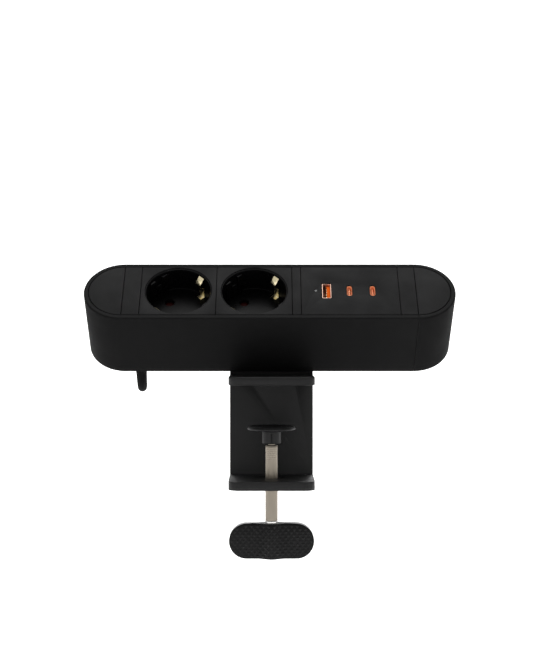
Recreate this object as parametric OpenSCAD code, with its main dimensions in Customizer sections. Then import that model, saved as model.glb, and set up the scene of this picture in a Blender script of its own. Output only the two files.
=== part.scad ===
// Desk power strip with a screw clamp: two earthed sockets, one USB-A and two USB-C ports.
// Millimetres. The origin is the centre of the face that rests on the desk top, X to the
// right along the strip, Y away from the user, Z up.

/* [Body] */
// Length of the strip over its round ends
body_len = 238; // [236:1:240]
// Depth of the square section, front to back, and diameter of the round ends
body_d = 50.6; // [50.4:0.1:50.8]
// Height of the square section
body_h = 49.2; // [49:0.1:49.6]
// Wall thickness at the rim
wall = 3; // [2.8:0.1:3.1]
// Width of the seams between the top plates
seam = 0.25; // [0.2:0.05:0.4]

/* [Clamp] */
// Width of the clamp
clamp_w = 54; // [52:1:58]
// Depth of the jaws
jaw_depth = 45; // [44:0.5:46]
// Clear height between the two jaws
jaw_gap = 59.5; // [59:0.5:62]
// Diameter of the pressure pad
pad_d = 30.5; // [28:0.5:32]
// Length of the wing knob
knob_len = 54; // [48:1:60]

/* [Cord] */
// Diameter of the mains cord
cord_d = 6.5; // [6.3:0.1:6.5]

/* [Hidden] */
$fn = 64;
R = body_d / 2;                 // radius of the round ends
ue = body_len / 2 - R;          // centre of the round ends
RI = R - wall;                  // half width of the mouth
RP = RI - 0.35;                 // half width of the top plates
RL = RI - 0.9;                  // half width below the ledge
pt = 2.2;                       // depth of the ledge
fl = 2.5;                       // floor
bx = -1.2; by = 7.5; bz = 59.8; // centre of the top face
us = [-58.4, -9.8];             // the two sockets
L1 = -ue; L2 = -82.5; L3 = -34.1; L4 = 14.4; L5 = 20.1; L6 = 82.8; L7 = ue;
u_led = 29.6; u_a = 36.5; u_c = [51.1, 65.9];
u_cord = -87.3;                 // cord exit
cup_r = 21.15; cup_i = 20.3; cup_dep = 17.5;
pin_o = 9.5;                    // pin distance from the socket centre
q = sqrt(0.5);
hw = clamp_w / 2; hj = jaw_depth / 2;
tb = 4;                         // bracket thickness
jt = 5.5;                       // jaw thickness
zb = -jaw_gap;                  // top of the lower jaw
padz = -26.4;                   // top of the pad
ballz = -33;                    // centre of the ball
kz0 = -110.2; kz1 = -87.9;      // wing knob, bottom and top
rc = cord_d / 2;
// hank, hung behind the clamp
hy = 88.1; hz = 23.03; hb = -47; hr = 19.5; nturn = 5;
ty = hy - hr * q; tz = hz + hr * q;      // where the tail leaves
py = ty + 27 * q; pz = tz + 27 * q;      // plug axis

// body frame: x along the strip, y across the top face, z out of the top face
module bf() { translate([bx, by, bz]) rotate([45, 0, 0]) children(); }
module along(u0, u1) { translate([u0, 0, 0]) rotate([90, 0, 90]) linear_extrude(height = u1 - u0) children(); }
module box(x0, x1, y0, y1, z0, z1) { translate([x0, y0, z0]) cube([x1 - x0, y1 - y0, z1 - z0]); }
module rod(a, b, r) {
  d = b - a; l = norm(d);
  translate(a) rotate([0, acos(d[2] / l), atan2(d[1], d[0])]) cylinder(r = r, h = l, $fn = 32);
}
module rrect(x0, x1, y0, y1, r) {
  translate([x0 + r, y0]) square([x1 - x0 - 2 * r, y1 - y0]);
  translate([x0, y0 + r]) square([x1 - x0, y1 - y0 - 2 * r]);
  for (x = [x0 + r, x1 - r], y = [y0 + r, y1 - r]) translate([x, y]) circle(r = r);
}
module slot2(l, d) { // stadium, long side along y
  square([d, l - d], center = true);
  for (s = [-1, 1]) translate([0, s * (l - d) / 2]) circle(r = d / 2);
}
// half of the section through the wall, axis at x = 0
module half_section() {
  polygon([[0, -body_h], [R - 0.8, -body_h], [R, -body_h + 0.8], [R, -1], [R - 1, 0], [RI, 0],
    [RI, -pt], [RL, -pt], [RL, -body_h + fl], [0, -body_h + fl]]);
}
module section() { half_section(); mirror([1, 0]) half_section(); }

module housing() color([0.1, 0.1, 0.1]) bf() difference() {
  union() {
    along(-ue, ue - 0.1) section();
    translate([-ue, 0, 0]) rotate([0, 0, 90]) rotate_extrude(angle = 180) half_section();
    for (x = [-17, 17], v = [-10, 12]) translate([x - bx, v, -body_h + fl - 0.5]) cylinder(r = 4.5, h = 4.8);
    for (u = [30, 80], v = [-15, 15]) translate([u, v, -body_h + fl - 0.5]) cylinder(r = 2.6, h = 8.4);
    for (v = [-10.2, 10.2]) translate([u_cord, v, -body_h + fl - 0.5]) cylinder(r = 2.6, h = 2.5);
    for (v = [-9, 9]) box(-82, -76.5, v - 2, v + 2, -body_h + fl - 0.5, -44);
  }
  for (x = [-17, 17], v = [-10, 12]) translate([x - bx, v, -body_h - 1]) cylinder(r = 2.05, h = 7.4);
  translate([u_cord, 0, -body_h - 1]) cylinder(r = 6.1, h = 5);
  for (v = [-10.2, 10.2]) translate([u_cord, v, -body_h + 1.2]) cylinder(r = 1.3, h = 5);
  for (v = [-14, 14]) translate([89.5, v, -body_h - 1]) {
    cylinder(r = 1.6, h = 6);
    cylinder(r = 3.1, h = 2.3);
  }
}
module end_cap_right() color([0.1, 0.1, 0.1]) bf() difference() {
  union() {
    translate([ue, 0, 0]) intersection() {
      rotate([0, 0, -90]) rotate_extrude(angle = 180) half_section();
      box(0.1, R + 1, -R - 1, R + 1, -body_h - 1, 1);
    }
    // tongue that goes into the housing
    for (s = [-1, 1]) box(ue - 6, ue + 0.6, s > 0 ? RL - 2.4 : -RL + 0.2, s > 0 ? RL - 0.2 : -RL + 2.4, -body_h + fl + 0.1, -6);
    box(ue - 9, ue + 0.6, -RL + 1, RL - 1, -body_h + fl + 0.1, -body_h + fl + 3);
    for (s = [-1, 1]) box(ue + 0.1, ue + 2, s > 0 ? RL - 2.4 : -RL - 0.2, s > 0 ? RL + 0.2 : -RL + 2.4, -body_h + fl - 0.2, -6);
  }
  for (v = [-14, 14]) translate([89.5, v, -body_h]) cylinder(r = 1.3, h = 9);
}
module end_cap_screws() color([0.7, 0.7, 0.7]) bf() for (v = [-14, 14]) translate([89.5, v, -body_h + 0.2])
  difference() {
    union() { cylinder(r = 2.9, h = 1); cylinder(r = 1.3, h = 5); }
    translate([0, 0, -0.1]) cylinder(r = 1, h = 0.8, $fn = 6);
  }
module end_plate(s) {
  translate([s * ue, 0, -pt]) intersection() {
    cylinder(r = RP, h = pt);
    box(s > 0 ? seam / 2 : -R, s > 0 ? R : -seam / 2, -R, R, -1, pt + 1);
  }
}
module end_plate_left() color([0.16, 0.16, 0.16]) bf() end_plate(-1);
module end_plate_right() color([0.16, 0.16, 0.16]) bf() end_plate(1);
module strip(u0, u1) { box(u0 + seam / 2, u1 - seam / 2, -RP, RP, -pt, 0); }
module blank_strip_left() color([0.16, 0.16, 0.16]) bf() strip(L1, L2);
module blank_strip_right() color([0.16, 0.16, 0.16]) bf() strip(L6, L7);
module filler_strip() color([0.16, 0.16, 0.16]) bf() strip(L4, L5);
module socket_plate(i) difference() {
  strip(i == 0 ? L2 : L3, i == 0 ? L3 : L4);
  translate([us[i], 0, -pt - 1]) cylinder(r = cup_r + 0.25, h = pt + 2, $fn = 96);
}
module socket_plate_left() color([0.16, 0.16, 0.16]) bf() socket_plate(0);
module socket_plate_right() color([0.16, 0.16, 0.16]) bf() socket_plate(1);
module usb_plate() color([0.16, 0.16, 0.16]) bf() difference() {
  union() {
    strip(L5, L6);
    for (u = [25, 78], v = [-16, 16]) translate([u, v, -15.4]) cylinder(r = 2.2, h = 13.5);
  }
  translate([u_led, 0, -3]) cylinder(r = 0.9, h = 4, $fn = 32);
  box(u_a - 3.1, u_a + 3.1, -6.9, 6.9, -3, 1);
  for (u = u_c) translate([u, 0, -3]) linear_extrude(height = 4) slot2(9.6, 3.8);
}

module socket_cup(i) translate([us[i], 0, 0]) {
  difference() {
    translate([0, 0, -20]) cylinder(r = cup_r, h = 19.75, $fn = 96);
    translate([0, 0, -cup_dep]) cylinder(r = cup_i, h = 20, $fn = 96);
    translate([0, 0, -1.2]) cylinder(r1 = cup_i, r2 = 20.75, h = 0.96, $fn = 96);
    for (a = [135, 315]) rotate([0, 0, a]) translate([pin_o, 0, -21]) cylinder(r = 3, h = 5);
    for (a = [45, 225]) rotate([0, 0, a]) box(18.0, 19.9, -2.7, 2.7, -21, -15);
  }
  for (a = [135, 315]) rotate([0, 0, a]) intersection() {
    box(17.9, 21, -2.25, 2.25, -18, -2);
    translate([0, 0, -19]) cylinder(r = cup_i + 0.3, h = 18);
  }
}
module socket_cup_left() color([0.05, 0.05, 0.05]) bf() socket_cup(0);
module socket_cup_right() color([0.05, 0.05, 0.05]) bf() socket_cup(1);
module socket_base(i) translate([us[i], 0, 0]) difference() {
  union() {
    translate([0, 0, -33.5]) cylinder(r = 17, h = 11);
    translate([0, 0, -23]) cylinder(r = 1.5, h = 2.8);
  }
  for (a = [135, 315]) rotate([0, 0, a]) {
    translate([pin_o, 0, -31.4]) cylinder(r = 3.4, h = 12);
    translate([pin_o, 0, -34]) cylinder(r = 1.3, h = 5);
  }
}
module socket_base_left() color([0.3, 0.3, 0.32]) bf() socket_base(0);
module socket_base_right() color([0.3, 0.3, 0.32]) bf() socket_base(1);
// one earth spring: two contact arms joined by a cross strap under the base
module earth_spring(i) translate([us[i], 0, 0]) rotate([0, 0, 45]) {
  for (s = [0, 180]) rotate([0, 0, s]) rotate([90, 0, 0]) translate([0, 0, -2]) linear_extrude(height = 4)
    polygon([[18.6, -34.9], [19.5, -34.9], [19.5, -9], [17.3, -5.6], [19.0, -2.6], [18.3, -2.2], [16.3, -5.6], [18.6, -9.3]]);
  box(-19, 19, -2, 2, -34.9, -34.1);
}
module earth_spring_left() color([0.85, 0.75, 0.45]) bf() earth_spring(0);
module earth_spring_right() color([0.85, 0.75, 0.45]) bf() earth_spring(1);
module contacts(s) {
  for (i = [0, 1]) translate([us[i] - s * pin_o * q, s * pin_o * q, 0]) difference() {
    union() {
      translate([0, 0, -31.2]) cylinder(r = 3.2, h = 8.2);
      translate([0, 0, -39]) cylinder(r = 1.15, h = 9);
    }
    translate([0, 0, -30]) cylinder(r = 2.35, h = 8);
    box(-0.4, 0.4, -4, 4, -29, -22);
  }
  box(-79.5, 28, s * pin_o * q - 1.6, s * pin_o * q + 1.6, -40, -38.8);
}
module live_contacts() color([0.85, 0.65, 0.3]) bf() contacts(1);
module neutral_contacts() color([0.85, 0.65, 0.3]) bf() contacts(-1);
module earth_busbar() color([0.85, 0.65, 0.3]) bf() box(-79.5, 2, -1.6, 1.6, -36.1, -34.9);
module shutter(i) translate([us[i], 0, -21.6]) rotate([0, 0, 135]) linear_extrude(height = 1.2) difference() {
  union() {
    for (s = [-1, 1]) translate([s * pin_o, 0]) circle(r = 3.25);
    square([2 * pin_o, 4], center = true);
    circle(r = 3.2);
  }
  circle(r = 1.55);
}
module shutter_left() color([0.4, 0.05, 0.05]) bf() shutter(0);
module shutter_right() color([0.4, 0.05, 0.05]) bf() shutter(1);
module shutter_springs() color([0.7, 0.7, 0.72]) bf() for (i = [0, 1]) translate([us[i], 0, -22.1])
  rotate_extrude() translate([2.5, 0]) circle(r = 0.3, $fn = 24);

module usb_a_shell() color([0.75, 0.75, 0.77]) bf() difference() {
  box(u_a - 2.85, u_a + 2.85, -6.55, 6.55, -15.4, -0.5);
  box(u_a - 2.5, u_a + 2.5, -6.2, 6.2, -14.6, 1);
}
module usb_a_tongue() color([0.9, 0.4, 0.1]) bf() { box(u_a + 0.2, u_a + 2.2, -5.6, 5.6, -14.6, -2); }
module usb_c_shells() color([0.75, 0.75, 0.77]) bf() for (u = u_c) translate([u, 0, -15.4]) difference() {
  linear_extrude(height = 14.9) slot2(9.0, 3.2);
  translate([0, 0, 0.8]) linear_extrude(height = 20) slot2(8.4, 2.6);
}
module usb_c_tongues() color([0.9, 0.4, 0.1]) bf() for (u = u_c) box(u - 0.4, u + 0.4, -3.3, 3.3, -14.6, -2.2);
module usb_board() color([0.1, 0.35, 0.2]) bf() box(22.5, 80.5, -18.5, 18.5, -17, -15.4);
module power_board() color([0.1, 0.35, 0.2]) bf() box(24.5, 84, -18, 18, -38.8, -37.2);
module transformer() color([0.75, 0.65, 0.3]) bf() {
  box(42, 62, -9, 9, -37.2, -22);
  box(45, 59, -12, 12, -34, -25);
}
module capacitors() color([0.15, 0.15, 0.3]) bf() for (v = [-8, 8]) translate([72, v, -37.2]) cylinder(r = 5, h = 16);
module heat_sink() color([0.7, 0.7, 0.72]) bf() {
  box(33, 35, -13, 13, -37.2, -21);
  for (i = [0:5]) box(34.5, 38.5, -12.6 + i * 4.84, -11.6 + i * 4.84, -37.2, -21);
}
module status_light_pipe() color([0.8, 0.9, 0.95]) bf() translate([u_led, 0, -15.4]) cylinder(r = 0.8, h = 15.2, $fn = 32);
module terminal_block() color([0.85, 0.85, 0.82]) bf() difference() {
  box(-82, -75.6, -11, 11, -44, -34);
  for (s = [-1, 1]) box(-79.6, -75, s * pin_o * q - 1.7, s * pin_o * q + 1.7, -40.1, -38.7);
  box(-79.6, -75, -1.7, 1.7, -36.2, -34.8);
  for (v = [-pin_o * q, pin_o * q]) translate([-77.8, v, -38.8]) cylinder(r = 1.4, h = 6);
}
module wire(v0, v1, w1) {
  rod([u_cord, v0, -41.6], [u_cord, v0, -35.5], 0.9);
  translate([u_cord, v0, -35.5]) sphere(r = 0.9, $fn = 32);
  rod([u_cord, v0, -35.5], [-81, v1, w1], 0.9);
}
module wire_live() color([0.35, 0.2, 0.1]) bf() wire(2, pin_o * q, -37.5);
module wire_neutral() color([0.15, 0.3, 0.7]) bf() wire(-2, -pin_o * q, -37.5);
module wire_earth() color([0.4, 0.7, 0.2]) bf() wire(0, 0, -36.5);
module strain_relief() color([0.08, 0.08, 0.08]) bf() translate([u_cord, 0, 0]) difference() {
  union() {
    translate([0, 0, -body_h + fl]) cylinder(r = 7.2, h = 1.6);
    translate([0, 0, -body_h - 0.5]) cylinder(r = 6, h = fl + 1);
    translate([0, 0, -body_h - 22]) cylinder(r1 = 4.4, r2 = 6, h = 21.6);
  }
  translate([0, 0, -body_h - 23]) cylinder(r = rc + 0.1, h = 40);
}
module cord_clamp() color([0.12, 0.12, 0.12]) bf() difference() {
  box(u_cord - 5.2, u_cord + 4.6, -13, 13, -body_h + fl + 2, -body_h + fl + 6.6);
  translate([u_cord, 0, -body_h]) cylinder(r = rc + 0.1, h = 20);
  for (v = [-10.2, 10.2]) translate([u_cord, v, -body_h]) cylinder(r = 1.4, h = 20);
}
module cord_clamp_screws() color([0.7, 0.7, 0.7]) bf() for (v = [-10.2, 10.2]) translate([u_cord, v, 0]) {
  translate([0, 0, -body_h + fl + 6.6]) cylinder(r = 2.4, h = 1.4);
  translate([0, 0, -body_h + 1.3]) cylinder(r = 1.25, h = fl + 5.5);
}

// clamp
module jaw_plan(y1) { // rounded front corners
  translate([-hw, -hj + 7]) square([clamp_w, y1 + hj - 7]);
  translate([-hw + 7, -hj]) square([clamp_w - 14, 8]);
  for (s = [-1, 1]) translate([s * (hw - 7), -hj + 7]) circle(r = 7);
}
module clamp_bracket() color([0.12, 0.12, 0.12]) difference() {
  union() {
    translate([0, 0, zb - jt]) linear_extrude(height = jt) jaw_plan(hj + tb);
    translate([-hw, 0, 0]) rotate([90, 0, 90]) linear_extrude(height = clamp_w)
      polygon([[hj, zb - 2], [hj, hj - 17.3], [68.8, 51.5], [71.63, 48.67], [hj + tb, hj + tb - 22.96], [hj + tb, zb - 2]]);
  }
  translate([0, 0, zb - jt - 1]) cylinder(r = 7, h = 10);
  bf() for (s = [-1, 1]) box(s * 17.3 - bx - 1.2, s * 17.3 - bx + 1.2, 26.6, 35.4, -56, -45);
  bf() for (x = [-17, 17], v = [-10, 12]) translate([x - bx, v, -56]) cylinder(r = 2.2, h = 10);
  for (x = [-16, 16]) translate([x, hj - 1, 2.9]) rotate([-90, 0, 0]) {
    cylinder(r = 1.6, h = 8);
    translate([0, 0, 1 + tb - 1.1]) cylinder(r1 = 1.6, r2 = 2.7, h = 1.2);
  }
}
module bracket_screws() color([0.6, 0.6, 0.6]) bf() for (x = [-17, 17], v = [-10, 12]) translate([x - bx, v, -body_h - tb])
  difference() {
    union() { translate([0, 0, -2.45]) cylinder(r = 3.6, h = 2.4); translate([0, 0, -0.1]) cylinder(r = 2, h = tb + 6.1); }
    translate([0, 0, -2.55]) cylinder(r = 1.45, h = 1.5, $fn = 6);
  }
module upper_jaw() color([0.12, 0.12, 0.12]) difference() {
  translate([0, 0, 0.4]) linear_extrude(height = 5) jaw_plan(hj);
  translate([0, 0, -1]) linear_extrude(height = 2.4) rrect(-hw + 3, hw - 3, -hj + 2.5, hj - 2.5, 4);
  for (x = [-16, 16]) translate([x, 10, 2.9]) rotate([-90, 0, 0]) cylinder(r = 1.5, h = 20);
}
module upper_jaw_pad() color([0.05, 0.05, 0.05]) linear_extrude(height = 1.4) rrect(-hw + 3.1, hw - 3.1, -hj + 2.6, hj - 2.6, 3.9);
module jaw_rivets() color([0.6, 0.6, 0.6]) for (x = [-16, 16]) translate([x, 0, 2.9]) rotate([-90, 0, 0]) {
  translate([0, 0, 11]) cylinder(r = 1.45, h = hj + tb - 11.2);
  translate([0, 0, hj + tb - 1.1]) cylinder(r1 = 1.5, r2 = 2.4, h = 0.9);
}
module spindle_nut() color([0.62, 0.6, 0.55]) difference() {
  translate([0, 0, zb - jt]) cylinder(r = 7, h = jt);
  translate([0, 0, zb - jt - 1]) cylinder(r = 4.05, h = 8);
}
module spindle() color([0.65, 0.62, 0.56]) difference() {
  union() {
    translate([0, 0, -107]) cylinder(r = 4, h = 107 - 38.4);
    translate([0, 0, -39]) cylinder(r = 2.3, h = 4);
    translate([0, 0, ballz]) sphere(r = 3.3);
  }
  translate([0, 20, -99]) rotate([90, 0, 0]) cylinder(r = 1.5, h = 40);
}
module spindle_collar() color([0.8, 0.79, 0.77]) translate([0, 0, -90.2]) difference() {
  cylinder(r = 4.4, h = 3.9);
  translate([0, 0, -1]) cylinder(r = 4, h = 6);
}
module knob() color([0.1, 0.1, 0.1]) difference() {
  union() {
    translate([0, 4.5, (kz0 + kz1) / 2]) rotate([90, 0, 0]) linear_extrude(height = 9) {
      square([knob_len - (kz1 - kz0), kz1 - kz0], center = true);
      for (s = [-1, 1]) translate([s * (knob_len - (kz1 - kz0)) / 2, 0]) circle(r = (kz1 - kz0) / 2);
    }
    translate([0, 0, kz0]) cylinder(r = 8, h = kz1 - kz0);
  }
  translate([0, 0, -107]) cylinder(r = 4, h = 30);
  translate([0, 0, -90.2]) cylinder(r = 4.4, h = 5);
  translate([0, 20, -99]) rotate([90, 0, 0]) cylinder(r = 1.5, h = 40);
}
module knob_pin() color([0.6, 0.6, 0.6]) translate([0, 7.4, -99]) rotate([90, 0, 0]) cylinder(r = 1.5, h = 14.8);
module ball_seat() color([0.85, 0.85, 0.8]) translate([0, 0, ballz]) difference() {
  sphere(r = 4.3);
  sphere(r = 3.5);
  translate([0, 0, -6]) cylinder(r = 2.7, h = 6);
  box(-6, 6, -6, 6, -6, -3.4);
}
module pad_disc() color([0.12, 0.12, 0.12]) difference() {
  union() {
    translate([0, 0, -28.7]) cylinder(r = pad_d / 2, h = 1.4);
    translate([0, 0, -29.9]) cylinder(r1 = 6, r2 = pad_d / 2 - 0.6, h = 1.21);
    translate([0, 0, -37.5]) cylinder(r = 6, h = 9);
  }
  translate([0, 0, ballz]) sphere(r = 4.5);
  translate([0, 0, -38]) cylinder(r = 3.4, h = 5);
  box(-0.45, 0.45, -7, 7, -38, -31.5);
}
module pad_rubber() color([0.06, 0.06, 0.06]) translate([0, 0, -27.3]) cylinder(r = pad_d / 2 - 0.5, h = 0.9);

// cord: rings of a swept tube, each [centre, n1, n2]
S = 12;
xs = bx + u_cord; ey = by + body_h * q; ez = bz - body_h * q;
s0 = 32.3; uy = ey + s0 * q + 26 * q; uz = ez - s0 * q + 26 * q; ry = hy + hr;
nx = [1, 0, 0]; ny = [0, 1, 0];
lead = concat(
  [for (s = [-7.6, 0, 10, 20]) [[xs, ey + s * q, ez - s * q], nx, cross([0, q, -q], nx)]],
  [for (a = [-135:13.5:-1]) [[xs - 3.5 * (a + 135) / 135, uy + 26 * cos(a), uz + 26 * sin(a)], nx, cross([0, -sin(a), cos(a)], nx)]],
  [for (b = [180:-15:90]) [[-65 + 27 * cos(b), uy + 26, uz + 27 * sin(b)], -cross([sin(b), 0, -cos(b)], ny), ny]],
  [for (b = [90:-15:0]) [[-40 + 27 * cos(b), ry, uz + 27 * sin(b)], -cross([sin(b), 0, -cos(b)], ny), ny]]);
tt = [0, q, q]; tbn = [0, q, -q];
tail = concat(
  [for (a = [0:15:90]) let (t = tt * cos(a) + nx * sin(a))
    [[13, ty, tz] + 27 * sin(a) * tt + 27 * (1 - cos(a)) * nx, tbn, cross(t, tbn)]],
  [[[44, py, pz], tbn, cross(nx, tbn)]]);
module sweep(rings, r, flip) {
  n = len(rings);
  pts = [for (g = rings, k = [0:S - 1]) g[0] + r * (cos(360 * k / S) * g[1] + sin(360 * k / S) * g[2])];
  side = [for (i = [0:n - 2], k = [0:S - 1]) let (a = i * S + k, b = i * S + (k + 1) % S)
    flip ? [a, b, b + S, a + S] : [a + S, b + S, b, a]];
  c0 = [for (k = [0:S - 1]) k]; c1 = [for (k = [0:S - 1]) (n - 1) * S + S - 1 - k];
  r0 = [for (k = [0:S - 1]) S - 1 - k]; r1 = [for (k = [0:S - 1]) (n - 1) * S + k];
  polyhedron(points = pts, faces = concat(side, flip ? [r0, r1] : [c0, c1]), convexity = 6);
}
module cord_lead() color([0.1, 0.1, 0.1]) sweep(lead, rc, true);
module cord_tail() color([0.1, 0.1, 0.1]) sweep(tail, rc, true);
module cord_hank() color([0.1, 0.1, 0.1]) translate([-nturn * cord_d / 2, 0, 0]) rotate([90, 0, 90])
  linear_extrude(height = nturn * cord_d) difference() {
    union() {
      for (z = [hz, hb]) translate([hy, z]) circle(r = hr + rc);
      translate([hy - hr - rc, hb]) square([2 * (hr + rc), hz - hb]);
    }
    for (z = [hz, hb]) translate([hy, z]) circle(r = hr - rc);
    translate([hy - hr + rc, hb]) square([2 * (hr - rc), hz - hb]);
  }
module cord_strap() color([0.12, 0.12, 0.12]) bf() translate([-bx, 35, 0]) rotate([90, 0, 0]) linear_extrude(height = 8) difference() {
  rrect(-18.3, 18.3, -69, -47.5, 1.8);
  rrect(-16.8, 16.8, -67.5, -49, 0.6);
}
module plug_body() color([0.1, 0.1, 0.1]) translate([44, py, pz]) rotate([0, 90, 0]) difference() {
  union() {
    cylinder(r1 = 4.6, r2 = 7.5, h = 20);
    translate([0, 0, 19]) cylinder(r1 = 9, r2 = 17, h = 9);
    translate([0, 0, 28]) cylinder(r = 18.3, h = 21);
  }
  for (s = [0, 180]) rotate([0, 0, s]) box(17.4, 19, -3.3, 3.3, 34, 50);
  for (s = [90, 270]) rotate([0, 0, s]) box(16.2, 19, -2.6, 2.6, 30, 50);
  for (s = [-1, 1]) translate([0, s * 9.5, 42]) cylinder(r = 2.4, h = 8);
}
module plug_pins() color([0.8, 0.8, 0.78]) for (s = [-1, 1]) translate([86, py + s * 9.5, pz]) rotate([0, 90, 0]) {
  cylinder(r = 2.4, h = 25);
  translate([0, 0, 25]) cylinder(r1 = 2.4, r2 = 1.3, h = 1.6);
}
module plug_earth() color([0.8, 0.8, 0.78]) translate([44, py, pz]) rotate([0, 90, 0])
  for (s = [0, 180]) rotate([0, 0, s]) box(17.4, 18.2, -3.2, 3.2, 34.2, 48.8);

housing();
end_cap_right();
end_cap_screws();
end_plate_left();
end_plate_right();
blank_strip_left();
blank_strip_right();
socket_plate_left();
socket_plate_right();
filler_strip();
usb_plate();
socket_cup_left();
socket_cup_right();
socket_base_left();
socket_base_right();
earth_spring_left();
earth_spring_right();
live_contacts();
neutral_contacts();
earth_busbar();
shutter_left();
shutter_right();
shutter_springs();
usb_a_shell();
usb_a_tongue();
usb_c_shells();
usb_c_tongues();
usb_board();
power_board();
transformer();
capacitors();
heat_sink();
status_light_pipe();
terminal_block();
wire_live();
wire_neutral();
wire_earth();
strain_relief();
cord_clamp();
cord_clamp_screws();
clamp_bracket();
bracket_screws();
upper_jaw();
upper_jaw_pad();
jaw_rivets();
spindle_nut();
spindle();
spindle_collar();
knob();
knob_pin();
ball_seat();
pad_disc();
pad_rubber();
cord_lead();
cord_hank();
cord_tail();
cord_strap();
plug_body();
plug_pins();
plug_earth();
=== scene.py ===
import bpy
import bmesh
import math
from mathutils import Matrix, Vector


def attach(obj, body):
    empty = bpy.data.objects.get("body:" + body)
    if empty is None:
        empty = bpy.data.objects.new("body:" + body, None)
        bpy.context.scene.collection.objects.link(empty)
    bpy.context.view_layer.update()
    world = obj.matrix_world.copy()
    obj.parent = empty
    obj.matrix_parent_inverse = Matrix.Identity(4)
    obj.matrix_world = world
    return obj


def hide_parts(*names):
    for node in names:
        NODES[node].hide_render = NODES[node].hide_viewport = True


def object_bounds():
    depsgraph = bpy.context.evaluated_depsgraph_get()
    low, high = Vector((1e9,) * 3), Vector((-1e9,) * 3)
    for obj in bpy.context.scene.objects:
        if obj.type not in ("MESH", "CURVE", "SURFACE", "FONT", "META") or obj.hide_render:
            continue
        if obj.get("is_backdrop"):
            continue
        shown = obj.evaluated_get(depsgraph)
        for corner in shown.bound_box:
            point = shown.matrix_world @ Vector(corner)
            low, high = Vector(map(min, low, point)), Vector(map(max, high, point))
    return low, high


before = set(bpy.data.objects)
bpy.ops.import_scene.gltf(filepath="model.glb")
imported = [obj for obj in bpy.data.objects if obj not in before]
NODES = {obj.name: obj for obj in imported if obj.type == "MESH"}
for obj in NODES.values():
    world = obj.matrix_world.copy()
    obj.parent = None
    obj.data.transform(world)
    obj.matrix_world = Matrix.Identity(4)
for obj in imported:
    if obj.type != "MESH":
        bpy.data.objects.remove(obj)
cad_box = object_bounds()

MM = 0.001
q = math.sqrt(0.5)
scene = bpy.context.scene
coll = scene.collection

# ---------------------------------------------------------------- camera
cam_data = bpy.data.cameras.new("camera")
cam_data.sensor_width = 36
cam_data.lens = 74.585
cam_data.clip_start = 0.05
cam_data.clip_end = 50
cam = bpy.data.objects.new("camera", cam_data)
coll.objects.link(cam)
cam.location = (-0.0032, -0.8755, 0.0389)
cam.rotation_euler = (math.radians(90 - 0.41), 0, 0)
scene.camera = cam


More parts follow.
